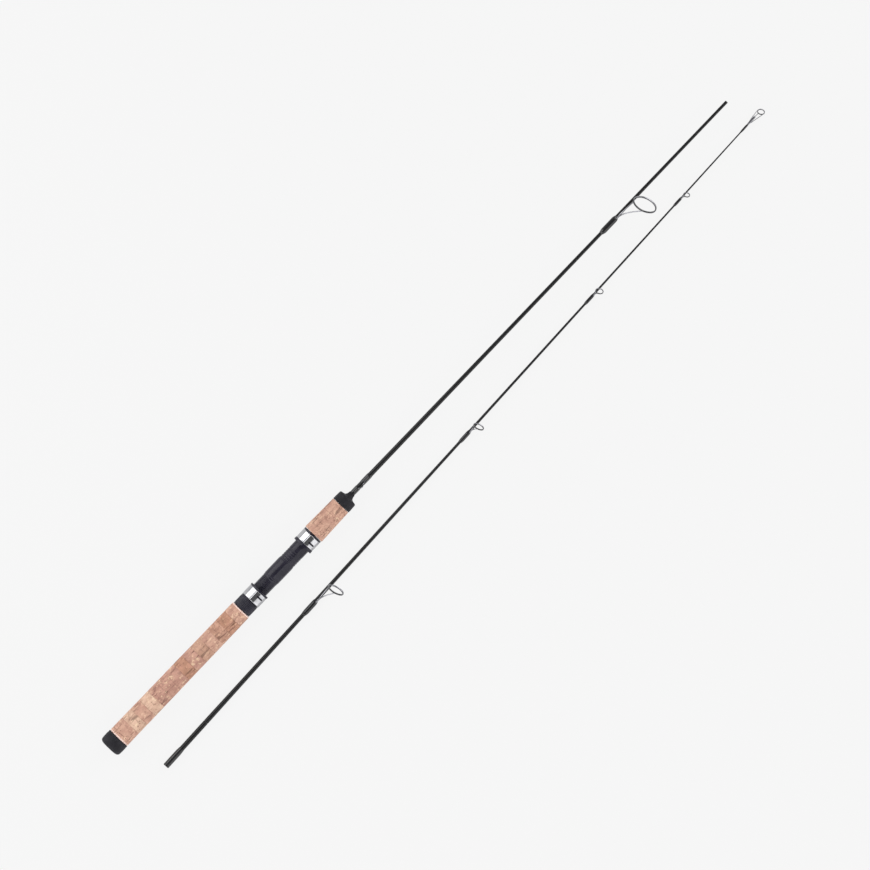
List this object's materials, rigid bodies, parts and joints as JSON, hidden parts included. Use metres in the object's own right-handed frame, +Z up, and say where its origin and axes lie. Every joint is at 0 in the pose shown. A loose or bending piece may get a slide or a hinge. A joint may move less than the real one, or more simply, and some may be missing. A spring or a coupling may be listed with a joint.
{
  "type": "spinning rod",
  "caption": "Two-piece spinning rod taken apart: butt section with cork grips and a screw-locking reel seat, beside a tapered tip section with line guides.",
  "frame": {"origin": "centre of the foot of the box around both sections, on the surface they lie on", "axes": "+X along the butt section's axis from butt cap to spigot, +Y from the tip section towards the butt section, +Z up"},
  "size_m": [0.9506, 0.0786, 0.0499],
  "materials": {
    "cork": "matte",
    "rubber": "matte",
    "seat_plastic": "satin",
    "hood_metal": "polished",
    "blank": "gloss",
    "thread_wrap": "gloss",
    "guide_metal": "polished",
    "guide_ceramic": "gloss",
    "arbor_foam": "matte"
  },
  "bodies": {
    "butt_section": {"butt_blank": "blank", "butt_cap": "rubber", "fixed_hood_liner": "seat_plastic", "fixed_hood_shell": "hood_metal", "fore_cork_ring_1": "cork", "fore_cork_ring_2": "cork", "fore_cork_ring_3": "cork", "hook_keeper": "guide_metal", "hook_keeper_front_wrap": "thread_wrap", "hook_keeper_rear_wrap": "thread_wrap", "rear_cork_ring_01": "cork", "rear_cork_ring_02": "cork", "rear_cork_ring_03": "cork", "rear_cork_ring_04": "cork", "rear_cork_ring_05": "cork", "rear_cork_ring_06": "cork", "rear_cork_ring_07": "cork", "rear_cork_ring_08": "cork", "rear_cork_ring_09": "cork", "rear_cork_ring_10": "cork", "rear_cork_ring_11": "cork", "rear_cork_ring_12": "cork", "rear_cork_ring_13": "cork", "rear_cork_ring_14": "cork", "rear_cork_ring_15": "cork", "reel_seat_tube": "seat_plastic", "seat_arbor_front": "arbor_foam", "seat_arbor_middle": "arbor_foam", "seat_arbor_rear": "arbor_foam", "seat_trim_ring": "seat_plastic", "stripper_guide_frame": "guide_metal", "stripper_guide_ring": "guide_ceramic", "stripper_guide_wrap": "thread_wrap", "winding_check": "rubber"},
    "movable_hood": {"movable_hood_shell": "hood_metal", "movable_hood_liner": "seat_plastic"},
    "lock_nut": {"lock_nut": "seat_plastic"},
    "tip_section": {"ferrule_sleeve": "thread_wrap", "running_guide_1_frame": "guide_metal", "running_guide_1_ring": "guide_ceramic", "running_guide_1_wrap": "thread_wrap", "running_guide_2_frame": "guide_metal", "running_guide_2_ring": "guide_ceramic", "running_guide_2_wrap": "thread_wrap", "running_guide_3_frame": "guide_metal", "running_guide_3_ring": "guide_ceramic", "running_guide_3_wrap": "thread_wrap", "running_guide_4_frame": "guide_metal", "running_guide_4_ring": "guide_ceramic", "running_guide_4_wrap": "thread_wrap", "tip_blank": "blank", "tip_blank_socket": "blank", "tip_top_frame": "guide_metal", "tip_top_ring": "guide_ceramic", "tip_top_wrap": "thread_wrap"}
  },
  "joints": [
    {"name": "hood_slide", "type": "slide", "parent": "butt_section", "child": "movable_hood", "axis": [1, 0, 0], "range_m": [0, 0.0241]},
    {"name": "nut_turn", "type": "hinge", "parent": "movable_hood", "child": "lock_nut", "pos_m": [-0.26931, 0.0267, 0.01264], "axis": [1, 0, 0], "range_deg": [0, 2880]},
    {"name": "tip_section_pull", "type": "slide", "parent": "butt_section", "child": "tip_section", "axis": [0.9997, 0.0262, 0], "range_m": [0, 0.93]}
  ],
  "couplings": [
    {"joint": "hood_slide", "follows": "nut_turn", "m_per_rad": 0.00047746}
  ]
}
